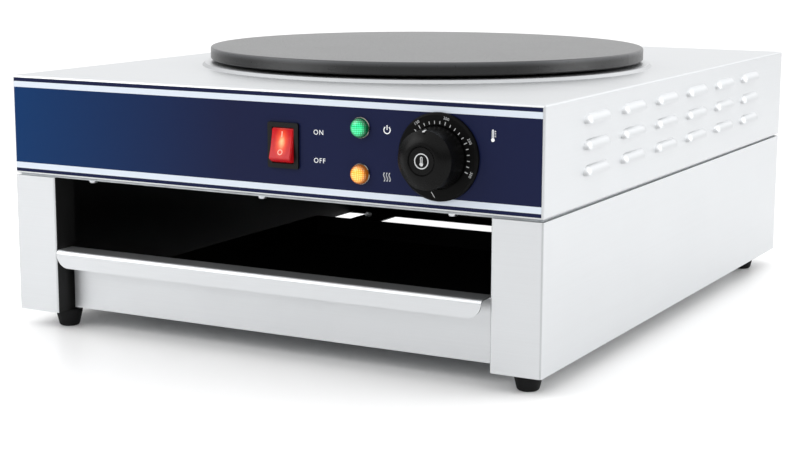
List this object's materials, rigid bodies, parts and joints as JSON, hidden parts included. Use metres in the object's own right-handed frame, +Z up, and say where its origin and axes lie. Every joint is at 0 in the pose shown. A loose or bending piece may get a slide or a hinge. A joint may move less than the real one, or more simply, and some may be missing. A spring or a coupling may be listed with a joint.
{
  "type": "electric crepe maker",
  "caption": "Countertop electric crepe maker: round cast hot plate on a louvred folded steel housing with switch, lamps and thermostat dial, over an open cabinet with a sliding tray.",
  "frame": {"origin": "on the table under the middle of the overall width and depth", "axes": "+X to the user's right, +Y from the control front to the back, +Z up"},
  "size_m": [0.505, 0.65, 0.2356],
  "materials": {
    "stainless_sheet": "brushed",
    "zinc_sheet": "dull zinc",
    "aluminised_sheet": "dull",
    "printed_overlay": "satin print",
    "cast_iron_plate": "machined",
    "heater_sheath": "heat-darkened",
    "mineral_board": "fibrous",
    "capillary_brass": "plain",
    "wire_cover": "sleeved",
    "terminal_ceramic": "plain",
    "red_rocker": "translucent gloss",
    "green_lens": "translucent gloss",
    "orange_lens": "translucent gloss",
    "seal_rubber": "moulded",
    "foot_rubber": "moulded",
    "black_plastic": "moulded",
    "zinc_hardware": "zinc plated"
  },
  "bodies": {
    "cooker": {"upper_housing": "stainless_sheet", "rear_panel": "stainless_sheet", "base_plate": "zinc_sheet", "control_overlay": "printed_overlay", "cabinet_side_left": "stainless_sheet", "cabinet_side_right": "stainless_sheet", "cabinet_rear": "stainless_sheet", "runner_left": "stainless_sheet", "runner_right": "stainless_sheet", "foot_front_left": "foot_rubber", "foot_front_right": "foot_rubber", "foot_rear_left": "foot_rubber", "foot_rear_right": "foot_rubber", "foot_screws": "zinc_hardware", "foot_nuts": "zinc_hardware", "front_screws": "zinc_hardware", "cabinet_screws": "zinc_hardware", "frame_nuts": "zinc_hardware", "rear_panel_screws": "zinc_hardware", "crepe_plate": "cast_iron_plate", "plate_studs": "zinc_hardware", "plate_spacers": "zinc_hardware", "stud_nuts": "zinc_hardware", "heating_element": "heater_sheath", "element_clamp": "zinc_sheet", "insulation_disc": "mineral_board", "reflector_pan": "aluminised_sheet", "thermostat_body": "zinc_hardware", "thermostat_screws": "zinc_hardware", "thermostat_capillary": "capillary_brass", "limit_cutout": "black_plastic", "dial_bezel": "black_plastic", "switch_body": "black_plastic", "power_lamp_lens": "green_lens", "power_lamp_body": "zinc_hardware", "power_lamp_nut": "black_plastic", "heat_lamp_lens": "orange_lens", "heat_lamp_body": "zinc_hardware", "heat_lamp_nut": "black_plastic", "terminal_block": "terminal_ceramic", "earth_stud": "zinc_hardware", "internal_wires": "wire_cover", "gland_body": "black_plastic", "gland_nut": "black_plastic", "gland_cap": "black_plastic", "gland_seal": "seal_rubber"},
    "drawer": {"drawer_tray": "stainless_sheet", "drawer_front": "stainless_sheet"},
    "temperature_knob": {"knob_grip": "black_plastic", "knob_cap": "black_plastic", "thermostat_shaft": "zinc_hardware"},
    "rocker": {"switch_rocker": "red_rocker"}
  },
  "joints": [
    {"name": "drawer_slide", "type": "slide", "parent": "cooker", "child": "drawer", "axis": [0, -1, 0], "range_m": [0, 0.36]},
    {"name": "temperature_turn", "type": "hinge", "parent": "cooker", "child": "temperature_knob", "pos_m": [0.1625, -0.31, 0.176], "axis": [0, 1, 0], "range_deg": [-174, 112]},
    {"name": "rocker_tilt", "type": "hinge", "parent": "cooker", "child": "rocker", "pos_m": [0.026, -0.2938, 0.176], "axis": [1, 0, 0], "range_deg": [0, 27]}
  ]
}
